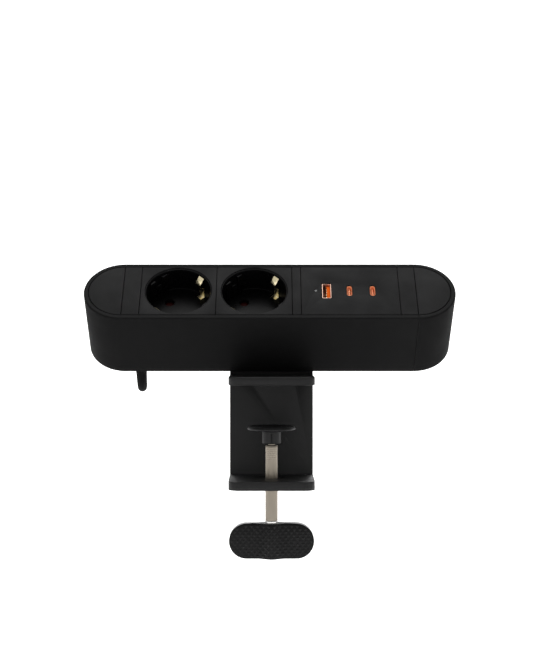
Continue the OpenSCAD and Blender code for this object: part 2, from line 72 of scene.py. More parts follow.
# ---------------------------------------------------------------- materials
def material(name, color, rough=0.5, metal=0.0, spec=0.5, grain=2500.0, bump=0.15, bump_mm=0.02,
             vary=0.25, rough_vary=0.08, wear=None, sheen=0.0, coat=0.0, weave=None, brushed=None, trans=0.0):
    """Procedural material: base colour with fine and broad variation, uneven roughness, and moulded grain or weave as bump."""
    m = bpy.data.materials.new(name)
    m.use_nodes = True
    nt = m.node_tree
    nt.nodes.clear()
    out = nt.nodes.new("ShaderNodeOutputMaterial")
    b = nt.nodes.new("ShaderNodeBsdfPrincipled")
    nt.links.new(b.outputs[0], out.inputs[0])
    b.inputs["Metallic"].default_value = metal
    b.inputs["Specular IOR Level"].default_value = spec
    if sheen:
        b.inputs["Sheen Weight"].default_value = sheen
    if coat:
        b.inputs["Coat Weight"].default_value = coat
        b.inputs["Coat Roughness"].default_value = 0.15
    if trans:
        b.inputs["Transmission Weight"].default_value = trans
    tc = nt.nodes.new("ShaderNodeTexCoord")
    mp = nt.nodes.new("ShaderNodeMapping")
    nt.links.new(tc.outputs["Object"], mp.inputs["Vector"])
    if brushed:
        mp.inputs["Scale"].default_value = brushed
    broad = nt.nodes.new("ShaderNodeTexNoise")
    broad.inputs["Scale"].default_value = 55
    broad.inputs["Detail"].default_value = 4
    fine = nt.nodes.new("ShaderNodeTexNoise")
    fine.inputs["Scale"].default_value = grain
    fine.inputs["Detail"].default_value = 3
    nt.links.new(tc.outputs["Object"], broad.inputs["Vector"])
    nt.links.new(mp.outputs["Vector"], fine.inputs["Vector"])
    mix = nt.nodes.new("ShaderNodeMix")
    mix.data_type = "RGBA"
    a0 = [c * (1 - vary) for c in color]
    a1 = [min(1, c * (1 + vary)) for c in color]
    mix.inputs[6].default_value = (*a0, 1)
    mix.inputs[7].default_value = (*a1, 1)
    half = nt.nodes.new("ShaderNodeMath")
    half.operation = "MULTIPLY_ADD"
    nt.links.new(fine.outputs["Fac"], half.inputs[0])
    half.inputs[1].default_value = 0.5
    mul = nt.nodes.new("ShaderNodeMath")
    mul.operation = "MULTIPLY"
    nt.links.new(broad.outputs["Fac"], mul.inputs[0])
    mul.inputs[1].default_value = 0.5
    nt.links.new(mul.outputs[0], half.inputs[2])
    nt.links.new(half.outputs[0], mix.inputs[0])
    last = mix.outputs[2]
    if wear:
        geo = nt.nodes.new("ShaderNodeNewGeometry")
        ramp = nt.nodes.new("ShaderNodeMapRange")
        ramp.inputs["From Min"].default_value = 0.52
        ramp.inputs["From Max"].default_value = 0.62
        ramp.inputs["To Max"].default_value = 0.6
        nt.links.new(geo.outputs["Pointiness"], ramp.inputs["Value"])
        wm = nt.nodes.new("ShaderNodeMix")
        wm.data_type = "RGBA"
        wm.inputs[7].default_value = (*wear, 1)
        nt.links.new(ramp.outputs[0], wm.inputs[0])
        nt.links.new(last, wm.inputs[6])
        last = wm.outputs[2]
    nt.links.new(last, b.inputs["Base Color"])
    rr = nt.nodes.new("ShaderNodeMapRange")
    rr.inputs["From Min"].default_value = 0.3
    rr.inputs["From Max"].default_value = 0.7
    rr.inputs["To Min"].default_value = max(0.02, rough - rough_vary)
    rr.inputs["To Max"].default_value = min(1, rough + rough_vary)
    nt.links.new(broad.outputs["Fac"], rr.inputs["Value"])
    nt.links.new(rr.outputs[0], b.inputs["Roughness"])
    bp = nt.nodes.new("ShaderNodeBump")
    bp.inputs["Strength"].default_value = bump
    bp.inputs["Distance"].default_value = bump_mm * MM
    if weave:
        w1 = nt.nodes.new("ShaderNodeTexWave")
        w2 = nt.nodes.new("ShaderNodeTexWave")
        for w, d in ((w1, "X"), (w2, "Z")):
            w.bands_direction = d
            w.inputs["Scale"].default_value = weave
            w.inputs["Distortion"].default_value = 0.6
            nt.links.new(tc.outputs["Object"], w.inputs["Vector"])
        wx = nt.nodes.new("ShaderNodeMath")
        wx.operation = "MULTIPLY"
        nt.links.new(w1.outputs["Fac"], wx.inputs[0])
        nt.links.new(w2.outputs["Fac"], wx.inputs[1])
        nt.links.new(wx.outputs[0], bp.inputs["Height"])
    else:
        nt.links.new(fine.outputs["Fac"], bp.inputs["Height"])
    nt.links.new(bp.outputs[0], b.inputs["Normal"])
    return m


M = {
    "black_plastic": material("black_plastic", (0.0066, 0.0066, 0.0067), 0.6, spec=0.02, grain=2600, bump=0.25, wear=(0.012, 0.012, 0.012)),
    "plate_plastic": material("plate_plastic", (0.0050, 0.0050, 0.0052), 0.55, spec=0.09, grain=3200, bump=0.3),
    "cup_plastic": material("cup_plastic", (0.0013, 0.0013, 0.0014), 0.3, spec=0.07, grain=2000, bump=0.06),
    "inner_plastic": material("inner_plastic", (0.06, 0.06, 0.065), 0.5, grain=1500),
    "brass_contact": material("brass_contact", (0.72, 0.58, 0.30), 0.28, metal=1.0, grain=1200, bump=0.1, brushed=(1, 1, 0.12)),
    "earth_metal": material("earth_metal", (0.86, 0.76, 0.50), 0.25, metal=1.0, grain=1400, bump=0.12, vary=0.12),
    "red_plastic": material("red_plastic", (0.022, 0.0014, 0.001), 0.45, spec=0.08, grain=1800),
    "orange_plastic": material("orange_plastic", (0.66, 0.11, 0.010), 0.6, spec=0.02, grain=1800, vary=0.12),
    "copper_plastic": material("copper_plastic", (0.80, 0.28, 0.13), 0.45, spec=0.12, grain=1800, vary=0.12),
    "board": material("board", (0.012, 0.10, 0.035), 0.4, coat=0.3, grain=900),
    "transformer_tape": material("transformer_tape", (0.62, 0.45, 0.08), 0.35, grain=700),
    "capacitor_sleeve": material("capacitor_sleeve", (0.02, 0.02, 0.07), 0.3, grain=1200),
    "aluminium_part": material("aluminium_part", (0.62, 0.62, 0.64), 0.4, metal=1.0, grain=900, brushed=(1, 1, 0.1)),
    "clear_light_pipe": material("clear_light_pipe", (0.035, 0.04, 0.042), 0.12, trans=0.3, grain=900, bump=0.02),
    "wire_brown": material("wire_brown", (0.13, 0.05, 0.02), 0.45, grain=900),
    "wire_blue": material("wire_blue", (0.02, 0.07, 0.38), 0.45, grain=900),
    "wire_green": material("wire_green", (0.12, 0.36, 0.03), 0.45, grain=900),
    "knob_plastic": material("knob_plastic", (0.0024, 0.0024, 0.0025), 0.3, spec=0.14, grain=2600, bump=0.15, wear=(0.012, 0.012, 0.012)),
    "black_steel": material("black_steel", (0.0062, 0.0062, 0.0064), 0.46, spec=0.19, grain=1700, bump=0.35, bump_mm=0.03, wear=(0.02, 0.02, 0.02)),
    "rubber_pad": material("rubber_pad", (0.0035, 0.0035, 0.0036), 0.7, spec=0.15, grain=1400, bump=0.5, bump_mm=0.04),
    "satin_steel": material("satin_steel", (0.232, 0.205, 0.168), 0.33, metal=1.0, grain=1600, bump=0.12, brushed=(1, 1, 0.06), vary=0.12),
    "bright_steel": material("bright_steel", (0.72, 0.71, 0.69), 0.25, metal=1.0, grain=1500, bump=0.08, vary=0.1),
    "warm_steel": material("warm_steel", (0.56, 0.37, 0.29), 0.32, metal=1.0, grain=1500, bump=0.08, vary=0.1),
    "cord_rubber": material("cord_rubber", (0.0056, 0.0056, 0.0057), 0.72, spec=0.02, grain=1900, bump=0.4, bump_mm=0.03),
    "strap_fabric": material("strap_fabric", (0.012, 0.012, 0.013), 0.85, spec=0.2, grain=1500, weave=330, bump=0.9, bump_mm=0.15, sheen=0.3),
}


def paint_top_light(m, color):
    """Painted light: a lighter base colour where the surface faces up and forwards with the rolled body, standing in
    for the light falling from above.
    """
    nt = m.node_tree
    b = nt.nodes["Principled BSDF"]
    src = b.inputs["Base Color"].links[0].from_socket
    geo = nt.nodes.new("ShaderNodeNewGeometry")
    dot = nt.nodes.new("ShaderNodeVectorMath")
    dot.operation = "DOT_PRODUCT"
    nt.links.new(geo.outputs["True Normal"], dot.inputs[0])
    dot.inputs[1].default_value = (0, -0.7071, 0.7071)
    ramp = nt.nodes.new("ShaderNodeMapRange")
    ramp.inputs["From Min"].default_value = 0.88
    ramp.inputs["From Max"].default_value = 0.97
    nt.links.new(dot.outputs["Value"], ramp.inputs["Value"])
    mix = nt.nodes.new("ShaderNodeMix")
    mix.data_type = "RGBA"
    mix.inputs[7].default_value = (*color, 1)
    nt.links.new(ramp.outputs[0], mix.inputs[0])
    nt.links.new(src, mix.inputs[6])
    nt.links.new(mix.outputs[2], b.inputs["Base Color"])


# painted highlight: the housing's up-facing rim and faces get a lighter base colour in place of the top light's
# reflection
paint_top_light(M["black_plastic"], (0.0145, 0.0145, 0.0146))


# ---------------------------------------------------------------- helpers
def body_frame():
    return Matrix.Translation((-1.2, 7.5, 59.8)) @ Matrix.Rotation(math.radians(45), 4, "X")


BF = body_frame()


def finish_mesh(me, angle=35):
    for p in me.polygons:
        p.use_smooth = True
    me.set_sharp_from_angle(angle=math.radians(angle))


def add(name, me, mat, body="strip", nodes=(), angle=35):
    ob = bpy.data.objects.new(name, me)
    coll.objects.link(ob)
    me.materials.clear()
    me.materials.append(M[mat])
    finish_mesh(me, angle)
    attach(ob, body)
    if nodes:
        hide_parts(*nodes)
    return ob


def tidy(bm, dist=2e-6):
    bmesh.ops.remove_doubles(bm, verts=bm.verts, dist=dist)
    bmesh.ops.dissolve_degenerate(bm, edges=bm.edges, dist=1e-7)
    bmesh.ops.recalc_face_normals(bm, faces=bm.faces)


def to_mesh(bm, name):
    me = bpy.data.meshes.new(name)
    bm.to_mesh(me)
    bm.free()
    return me


def outline(points, n=None):
    return [(x, y) for x, y in points]


def circle(cx, cy, r, n=72):
    return [(cx + r * math.cos(2 * math.pi * i / n), cy + r * math.sin(2 * math.pi * i / n)) for i in range(n)]


def rrect(x0, x1, y0, y1, r, n=6):
    out = []
    for cx, cy, a in ((x1 - r, y1 - r, 0), (x0 + r, y1 - r, 90), (x0 + r, y0 + r, 180), (x1 - r, y0 + r, 270)):
        for i in range(n + 1):
            t = math.radians(a + 90 * i / n)
            out.append((cx + r * math.cos(t), cy + r * math.sin(t)))
    return out


def stadium_v(cx, cy, length, d, n=14):
    """Slot with its long side along y."""
    out = []
    for s, a in ((1, 0), (-1, 180)):
        for i in range(n + 1):
            t = math.radians(a + 180 * i / n)
            out.append((cx + d / 2 * math.cos(t), cy + s * (length - d) / 2 + d / 2 * math.sin(t)))
    return out


def slab(name, loops, z0, z1, bevel, frame_m=None, res=2):
    """A plate cut from 2-D loops in mm, between z0 and z1, with rounded edges all round and in its holes."""
    cu = bpy.data.curves.new(name, "CURVE")
    cu.dimensions = "2D"
    cu.fill_mode = "BOTH"
    k = 0.01  # worked at ten times size, so that nothing is lost to rounding
    for loop in loops:
        sp = cu.splines.new("POLY")
        sp.points.add(len(loop) - 1)
        for p, (x, y) in zip(sp.points, loop):
            p.co = (x * k, y * k, 0, 1)
        sp.use_cyclic_u = True
    cu.extrude = ((z1 - z0) / 2 - bevel) * k
    cu.bevel_depth = bevel * k
    cu.bevel_resolution = res
    cu.offset = -bevel * k
    ob = bpy.data.objects.new(name, cu)
    coll.objects.link(ob)
    bpy.context.view_layer.update()
    me = bpy.data.meshes.new_from_object(ob.evaluated_get(bpy.context.evaluated_depsgraph_get()))
    bpy.data.objects.remove(ob)
    bpy.data.curves.remove(cu)
    me.transform(Matrix.Scale(1 / k, 4))
    me.transform(Matrix.Translation((0, 0, (z0 + z1) / 2)))
    if frame_m is not None:
        me.transform(frame_m)
    me.transform(Matrix.Scale(MM, 4))
    bm = bmesh.new()
    bm.from_mesh(me)
    tidy(bm)
    bm.to_mesh(me)
    bm.free()
    return me


def lathe(name, profile, n=72, frame_m=None, closed=False):
    """Turned piece: profile is (radius, height) in mm, bottom to top, on the local Z axis."""
    bm = bmesh.new()
    rings = []
    for r, z in profile:
        if r < 1e-6:
            rings.append([bm.verts.new((0, 0, z))])
        else:
            rings.append([bm.verts.new((r * math.cos(2 * math.pi * i / n), r * math.sin(2 * math.pi * i / n), z)) for i in range(n)])
    pairs = list(zip(rings, rings[1:])) + ([(rings[-1], rings[0])] if closed else [])
    for a, b in pairs:
        for i in range(n):
            j = (i + 1) % n
            if len(a) == 1 and len(b) == 1:
                continue
            if len(a) == 1:
                bm.faces.new((a[0], b[j], b[i]))
            elif len(b) == 1:
                bm.faces.new((a[i], a[j], b[0]))
            else:
                bm.faces.new((a[i], a[j], b[j], b[i]))
    if frame_m is not None:
        bmesh.ops.transform(bm, matrix=frame_m, verts=bm.verts)
    bmesh.ops.transform(bm, matrix=Matrix.Scale(MM, 4), verts=bm.verts)
    bmesh.ops.recalc_face_normals(bm, faces=bm.faces)
    return to_mesh(bm, name)


def arc_pts(cx, cy, r, a0, a1, n=5):
    return [(cx + r * math.cos(math.radians(a0 + (a1 - a0) * i / n)), cy + r * math.sin(math.radians(a0 + (a1 - a0) * i / n))) for i in range(n + 1)]


def join(name, *meshes):
    bm = bmesh.new()
    for me in meshes:
        bm.from_mesh(me)
        bpy.data.meshes.remove(me)
    return to_mesh(bm, name)


def cut(me, *cutters):
    """me with the cutters taken away."""
    ob = bpy.data.objects.new("work", me)
    coll.objects.link(ob)
    tools = []
    for c in cutters:
        t = bpy.data.objects.new("tool", c)
        coll.objects.link(t)
        tools.append(t)
        md = ob.modifiers.new("cut", "BOOLEAN")
        md.operation = "DIFFERENCE"
        md.solver = "EXACT"
        md.object = t
    bpy.context.view_layer.update()
    out = bpy.data.meshes.new_from_object(ob.evaluated_get(bpy.context.evaluated_depsgraph_get()))
    for o in [ob] + tools:
        d = o.data
        bpy.data.objects.remove(o)
        bpy.data.meshes.remove(d)
    return out


def rounded(node, width, mat, body="strip", seg=2, angle=40, keep_angle=35):
    """A detailed version of a CAD node, its outer edges rounded over."""
    src = NODES[node]
    bm = bmesh.new()
    bm.from_mesh(src.data)
    bmesh.ops.transform(bm, matrix=src.matrix_world, verts=bm.verts)
    bmesh.ops.remove_doubles(bm, verts=bm.verts, dist=3e-6)
    bmesh.ops.dissolve_limit(bm, angle_limit=math.radians(0.6), verts=bm.verts, edges=bm.edges)
    edges = [e for e in bm.edges if len(e.link_faces) == 2 and e.calc_face_angle(0) > math.radians(angle)]
    bmesh.ops.bevel(bm, geom=edges, offset=width * MM, offset_type="OFFSET", segments=seg, profile=0.5, affect="EDGES", clamp_overlap=True)
    bmesh.ops.dissolve_degenerate(bm, edges=bm.edges, dist=1e-7)
    bmesh.ops.recalc_face_normals(bm, faces=bm.faces)
    return add(node + "_shape", to_mesh(bm, node + "_shape"), mat, body, [node], angle=keep_angle)


# ---------------------------------------------------------------- mains cord
RC = 3.25
XS, EY, EZ = -88.5, 42.29, 25.01
S0 = 32.3
UY, UZ = EY + S0 * q + 26 * q, EZ - S0 * q + 26 * q
HY, HZ, HB, HR = 88.1, 23.03, -47.0, 19.5
RY = HY + HR
TY, TZ = HY - HR * q, HZ + HR * q
PY, PZ = TY + 27 * q, TZ + 27 * q

route = []


def go(points):
    for p in points:
        if not route or (Vector(p) - Vector(route[-1])).length > 0.4:
            route.append(tuple(p))


def smooth(t):
    return t * t * (3 - 2 * t)


go([(XS, EY + s * q, EZ - s * q) for s in (0, 8, 16, 24, 32.3)])
for i in range(1, 23):
    a = math.radians(-135 + 135 * i / 22)
    go([(XS - 3.5 * smooth(i / 22), UY + 26 * math.cos(a), UZ + 26 * math.sin(a))])
for i in range(1, 15):
    b = math.radians(180 - 90 * i / 14)
    t = smooth(i / 14)
    go([(-65 + 27 * math.cos(b), UY + 26 + (RY - UY - 26) * 0.4 * t, UZ + 27 * math.sin(b))])
for i in range(1, 6):
    go([(-65 + 5 * i, UY + 26 + (RY - UY - 26) * (0.4 + 0.12 * i), UZ + 27)])
for i in range(1, 15):
    b = math.radians(90 - 90 * i / 14)
    go([(-40 + 27 * math.cos(b), RY, UZ + 27 * math.sin(b))])
for turn in range(5):
    x = -13 + 6.5 * turn
    for z in (20.55 - 1, 10, 0, -10, -20, -30, -40, HB):
        if turn == 0 or z < HZ:
            go([(x, RY, z)])
    for i in range(1, 19):
        a = math.radians(-180 * i / 18)
        go([(x, HY + HR * math.cos(a), HB + HR * math.sin(a))])
    for z in (-37, -27, -17, -7, 3, 13, HZ):
        go([(x, HY - HR, z)])
    if turn < 4:
        for i in range(1, 19):
            a = math.radians(180 - 180 * i / 18)
            go([(x + 6.5 * smooth(i / 18), HY + HR * math.cos(a), HZ + HR * math.sin(a))])
    else:
        for i in range(1, 5):
            a = math.radians(180 - 45 * i / 4)
            go([(x, HY + HR * math.cos(a), HZ + HR * math.sin(a))])
tt = Vector((0, q, q))
for i in range(1, 15):
    a = math.radians(90 * i / 14)
    p = Vector((13, TY, TZ)) + 27 * math.sin(a) * tt + Vector((27 * (1 - math.cos(a)), 0, 0))
    go([tuple(p)])
go([(42, PY, PZ), (46.5, PY, PZ)])


def catmull(points, step=2.2):
    """The same route with evenly close points, on one smooth curve."""
    ps = [Vector(p) for p in points]
    out = []
    for i in range(len(ps) - 1):
        p0 = ps[max(i - 1, 0)]
        p1, p2 = ps[i], ps[i + 1]
        p3 = ps[min(i + 2, len(ps) - 1)]
        n = max(1, round((p2 - p1).length / step))
        t0, t1 = 0.0, (p1 - p0).length ** 0.5
        if t1 < 1e-6:
            t1 = 1e-3
            p0 = p1 - (p2 - p1) * 1e-3
            t1 = (p1 - p0).length ** 0.5
        t2 = t1 + (p2 - p1).length ** 0.5
        e = (p3 - p2).length ** 0.5
        if e < 1e-6:
            p3 = p2 + (p2 - p1) * 1e-3
            e = (p3 - p2).length ** 0.5
        t3 = t2 + e
        for k in range(n):
            t = t1 + (t2 - t1) * k / n
            a1 = p0 * ((t1 - t) / (t1 - t0)) + p1 * ((t - t0) / (t1 - t0))
            a2 = p1 * ((t2 - t) / (t2 - t1)) + p2 * ((t - t1) / (t2 - t1))
            a3 = p2 * ((t3 - t) / (t3 - t2)) + p3 * ((t - t2) / (t3 - t2))
            b1 = a1 * ((t2 - t) / (t2 - t0)) + a2 * ((t - t0) / (t2 - t0))
            b2 = a2 * ((t3 - t) / (t3 - t1)) + a3 * ((t - t1) / (t3 - t1))
            out.append(b1 * ((t2 - t) / (t2 - t1)) + b2 * ((t - t1) / (t2 - t1)))
    out.append(ps[-1])
    return out


def tube(name, pts, r, n=18):
    bm = bmesh.new()
    normal = Vector((1, 0, 0))
    rings = []
    for i, p in enumerate(pts):
        t = (pts[min(i + 1, len(pts) - 1)] - pts[max(i - 1, 0)]).normalized()
        normal = (normal - t * normal.dot(t)).normalized()
        side = t.cross(normal)
        rings.append([bm.verts.new((p + r * (math.cos(2 * math.pi * k / n) * normal + math.sin(2 * math.pi * k / n) * side)) * MM) for k in range(n)])
    for a, b in zip(rings, rings[1:]):
        for k in range(n):
            j = (k + 1) % n
            bm.faces.new((a[k], a[j], b[j], b[k]))
    bm.faces.new(list(reversed(rings[0])))
    bm.faces.new(rings[-1])
    bmesh.ops.recalc_face_normals(bm, faces=bm.faces)
    return to_mesh(bm, name)


line = catmull(route)
cord = add("mains_cord", tube("mains_cord", line, RC), "cord_rubber", nodes=["cord_lead", "cord_hank", "cord_tail"], angle=60)

# tapered, ringed strain relief
prof = [(3.32, -71.2), (4.1, -71.2), (4.4, -70.8)]
for i in range(6):
    w0 = -70.0 + 3.2 * i
    rr0 = 4.45 + 1.45 * (w0 + 71.2) / 21.6
    prof += [(rr0, w0), (rr0 + 0.12, w0 + 1.5), (rr0 - 0.65, w0 + 1.8), (rr0 - 0.6, w0 + 2.7)]
prof += [(6.0, -50.6), (6.0, -46.0), (3.32, -46.0)]
relief = add("strain_relief_shape", lathe("strain_relief_shape", prof, 48, BF @ Matrix.Translation((-87.3, 0, 0)), closed=True), "cord_rubber", nodes=["strain_relief"], angle=50)

# plug: ringed sleeve and rounded grip
PM = Matrix.Translation((44, PY, PZ)) @ Matrix.Rotation(math.radians(90), 4, "Y")
prof = [(0, 0.2), (4.3, 0.2), (4.6, 0.6)]
for i in range(5):
    w0 = 1.2 + 3.6 * i
    rr0 = 4.65 + 2.7 * w0 / 20
    prof += [(rr0, w0), (rr0 + 0.25, w0 + 1.9), (rr0 - 0.5, w0 + 2.3), (rr0 - 0.4, w0 + 3.2)]
prof += [(8.6, 19.2)] + arc_pts(9.0, 20.4, 1.1, -90, -25, 3) + [(13.2, 24.2), (16.6, 27.2)]
prof += arc_pts(17.2, 28.9, 1.1, -60, 0, 4)
for i in range(4):
    prof += [(18.3, 30.6 + 2.1 * i), (17.9, 30.9 + 2.1 * i), (17.9, 31.5 + 2.1 * i), (18.3, 31.8 + 2.1 * i)]
prof += [(18.3, 47.9)] + arc_pts(17.4, 48.1, 0.9, 0, 90, 4) + [(0, 49.0)]


def block(x0, x1, y0, y1, z0, z1, m=None, bevel=0.0):
    bm = bmesh.new()
    bmesh.ops.create_cube(bm, size=1)
    bmesh.ops.transform(bm, matrix=Matrix.Translation(((x0 + x1) / 2, (y0 + y1) / 2, (z0 + z1) / 2)) @ Matrix.Diagonal((x1 - x0, y1 - y0, z1 - z0, 1)), verts=bm.verts)
    if bevel:
        bmesh.ops.bevel(bm, geom=list(bm.edges), offset=bevel, offset_type="OFFSET", segments=2, profile=0.5, affect="EDGES")
    if m is not None:
        bmesh.ops.transform(bm, matrix=m, verts=bm.verts)
    bmesh.ops.transform(bm, matrix=Matrix.Scale(MM, 4), verts=bm.verts)
    bmesh.ops.recalc_face_normals(bm, faces=bm.faces)
    return to_mesh(bm, "block")


def turn_z(deg):
    return Matrix.Rotation(math.radians(deg), 4, "Z")


plug_me = lathe("plug_shape", prof, 96, PM)
plug_me = cut(plug_me,
              *[block(17.4, 20, -3.3, 3.3, 34, 52, PM @ turn_z(a)) for a in (0, 180)],
              *[block(16.2, 20, -2.6, 2.6, 30, 52, PM @ turn_z(a)) for a in (90, 270)])
plug = add("plug_shape", plug_me, "cord_rubber", nodes=["plug_body"], angle=40)
pins = []
for s in (-1, 1):
    pm = PM @ Matrix.Translation((0, s * 9.5, 0))
    pins.append(lathe("pin", [(0, 42), (2.4, 42), (2.4, 66.4)] + arc_pts(1.6, 66.9, 0.8, 0, 60, 3) + [(1.3, 68.4), (0, 68.6)], 40, pm))
pin = add("plug_pins_shape", join("plug_pins_shape", *pins), "bright_steel", nodes=["plug_pins"])
strips = [block(17.35, 18.25, -3.2, 3.2, 34.2, 48.8, PM @ turn_z(a), 0.2) for a in (0, 180)]
strip_me = add("plug_earth_shape", join("plug_earth_shape", *strips), "bright_steel", nodes=["plug_earth"])

# webbing strap round the hank, through the slots of the bracket
SM = BF @ Matrix.Translation((1.2, 35, 0)) @ Matrix.Rotation(math.radians(90), 4, "X")
strap = slab("cord_strap_shape", [rrect(-18.3, 18.3, -69, -47.5, 1.8, 10), rrect(-16.8, 16.8, -67.5, -49, 0.6, 10)], 0, 8, 0.35, SM)
buckle = block(-5.5, 5.5, -69.5, -67.1, -0.6, 8.6, SM, 0.5)
add("cord_strap_shape", strap, "strap_fabric", nodes=["cord_strap"])
add("cord_strap_buckle", buckle, "black_plastic")

# ---------------------------------------------------------------- housing
R, UE, H, WALL, PT, FL = 25.3, 93.7, 49.2, 3.0, 2.2, 2.5
RI, RP, RL = R - WALL, R - WALL - 0.35, R - WALL - 0.9
section = [(0, -H), (R - 0.9, -H)]
section += arc_pts(R - 0.9, -H + 0.9, 0.9, -90, 0, 5)[1:]
section += [(R, -H + 8), (R, -12)] + arc_pts(R - 1.15, -1.15, 1.15, 0, 90, 6)
section += [(RI + 0.3, 0)] + arc_pts(RI + 0.3, -0.3, 0.3, 90, 180, 3)[1:]
section += [(RI, -PT), (RL, -PT), (RL, -H + FL), (0, -H + FL)]


def hull(name, stations):
    """The wall section swept along stations, each a function of the distance from the middle line."""
    bm = bmesh.new()
    rings = [[bm.verts.new((*st(r), w)) for r, w in section] for st in stations]
    n = len(section)
    for a, b in zip(rings, rings[1:]):
        for k in range(n):
            j = (k + 1) % n
            if k == n - 1:
                continue
            bm.faces.new((a[k], b[k], b[j], a[j]))
    for ring in (rings[0], rings[-1]):
        bm.faces.new(ring)
    bmesh.ops.remove_doubles(bm, verts=bm.verts, dist=1e-4)
    bmesh.ops.dissolve_degenerate(bm, edges=bm.edges, dist=1e-5)
    ngons = [f for f in bm.faces if len(f.verts) > 6]
    bmesh.ops.triangulate(bm, faces=ngons)
    bmesh.ops.recalc_face_normals(bm, faces=bm.faces)
    bmesh.ops.transform(bm, matrix=BF, verts=bm.verts)
    bmesh.ops.transform(bm, matrix=Matrix.Scale(MM, 4), verts=bm.verts)
    return to_mesh(bm, name)


def straight(u, side):
    return lambda r: (u, side * r)


def round_at(u0, deg):
    c, s = math.cos(math.radians(deg)), math.sin(math.radians(deg))
    return lambda r: (u0 + r * c, r * s)


us_front = [UE - 0.1, 60, 20, -20, -60]
stations = [straight(u, -1) for u in us_front] + [round_at(-UE, -90 - 180 * i / 56) for i in range(57)] + [straight(u, 1) for u in reversed(us_front)]
shell = hull("housing_shape", stations)
shell = cut(shell,
            *[lathe("c", [(0, -H - 1), (3.1, -H - 1), (3.1, -H + 1.3), (0, -H + 1.3)], 40, BF @ Matrix.Translation((89.5, v, 0))) for v in (-14, 14)])
add("housing_shape", shell, "black_plastic", nodes=["housing"])
cap_stations = [round_at(UE + 0.1, -90 + 180 * i / 56) for i in range(57)]
add("end_cap_shape", hull("end_cap_shape", cap_stations), "black_plastic", nodes=["end_cap_right"])
rounded("end_cap_screws", 0.15, "bright_steel")

# ---------------------------------------------------------------- top plates
g = 0.125
L = [-93.7, -82.5, -34.1, 14.4, 20.1, 82.8, 93.7]
B = 0.28


def rect(u0, u1):
    return [(u0 + g, -RP), (u1 - g, -RP), (u1 - g, RP), (u0 + g, RP)]


for nm, i in (("blank_strip_left", 0), ("filler_strip", 3), ("blank_strip_right", 5)):
    add(nm + "_shape", slab(nm, [rect(L[i], L[i + 1])], -PT, 0, B, BF), "plate_plastic", nodes=[nm])
US = (-58.4, -9.8)
for nm, i, u in (("socket_plate_left", 1, US[0]), ("socket_plate_right", 2, US[1])):
    add(nm + "_shape", slab(nm, [rect(L[i], L[i + 1]), circle(u, 0, 21.4, 120)], -PT, 0, B, BF), "plate_plastic", nodes=[nm])
holes = [circle(29.6, 0, 0.95, 24), rrect(33.4, 39.6, -6.9, 6.9, 0.7)] + [stadium_v(u, 0, 9.6, 3.8) for u in (51.1, 65.9)]
add("usb_plate_shape", slab("usb_plate", [rect(L[4], L[5])] + holes, -PT, 0, 0.2, BF), "plate_plastic", nodes=["usb_plate"])
for nm, s in (("end_plate_left", -1), ("end_plate_right", 1)):
    pts = [(s * UE + s * g, -RP)] + [(s * UE + s * RP * math.cos(math.radians(a)), RP * math.sin(math.radians(a))) for a in [-88 + 176 * k / 48 for k in range(49)]] + [(s * UE + s * g, RP)]
    add(nm + "_shape", slab(nm, [pts], -PT, 0, B, BF), "plate_plastic", nodes=[nm])

# ---------------------------------------------------------------- sockets
for nm, u in (("left", US[0]), ("right", US[1])):
    base = BF @ Matrix.Translation((u, 0, 0))
    prof = [(0, -20), (21.15, -20), (21.15, -0.75), (21.05, -0.6), (20.85, -0.6), (20.55, -0.95), (20.4, -1.5), (20.3, -17.3), (20.1, -17.5), (0, -17.5)]
    me = lathe("cup", prof, 120, base)
    tools = [lathe("c", [(0, -21), (3, -21), (3, -17.9), (3.35, -17.3), (3.35, -17), (0, -17)], 40, base @ turn_z(a) @ Matrix.Translation((9.5, 0, 0))) for a in (135, 315)]
    tools += [block(16.4, 20.9, -2.75, 2.75, -19.9, -1.7, base @ turn_z(a)) for a in (45, 225)]
    me = cut(me, *tools)
    lands = []
    for a in (135, 315):
        for s in (-1, 1):
            ts = [3.1 + (7.2 - 3.1) * k / 8 for k in range(9)]
            inner = [(18.3, s * t) for t in ts]
            outer = [(math.sqrt(20.8 ** 2 - t * t), s * t) for t in reversed(ts)]
            lands.append(slab("land", [inner + outer], -17.6, -2.7, 0.25, base @ turn_z(a), 1))
        lands.append(block(18.0, 20.7, -2.2, 2.2, -17.6, -7.5, base @ turn_z(a), 0.3))
    add("socket_cup_" + nm + "_shape", join("cup_" + nm, me, *lands), "cup_plastic", nodes=["socket_cup_" + nm], angle=32)
    # earth clips: bent springy arms with a foot on the floor of the cup
    arms = []
    path = [(16.8, -18.9), (19.6, -18.9), (20.2, -18.3), (20.2, -11.5), (20.0, -10.6), (17.4, -7.2), (17.05, -6.4), (17.2, -5.7), (19.9, -2.6), (20.4, -2.25)]
    th = 0.55

    def offset(points, d):
        out = []
        for i, p in enumerate(points):
            a = Vector(points[max(i - 1, 0)])
            b = Vector(points[min(i + 1, len(points) - 1)])
            t = (b - a).normalized()
            out.append((p[0] - t.y * d, p[1] + t.x * d))
        return out

    loop = offset(path, th / 2) + list(reversed(offset(path, -th / 2)))
    for a in (45, 225):
        fm = base @ turn_z(a) @ Matrix.Rotation(math.radians(90), 4, "X")
        arms.append(slab("arm", [loop], -2.2, 2.2, 0.12, fm, 1))
    arms.append(block(-20, 20, -2, 2, -34.9, -34.1, base @ turn_z(45), 0.15))
    for a in (45, 225):
        arms.append(block(19.0, 19.9, -2, 2, -34.5, -18.6, base @ turn_z(a), 0.15))
    add("earth_spring_" + nm + "_shape", join("es_" + nm, *arms), "earth_metal", nodes=["earth_spring_" + nm])

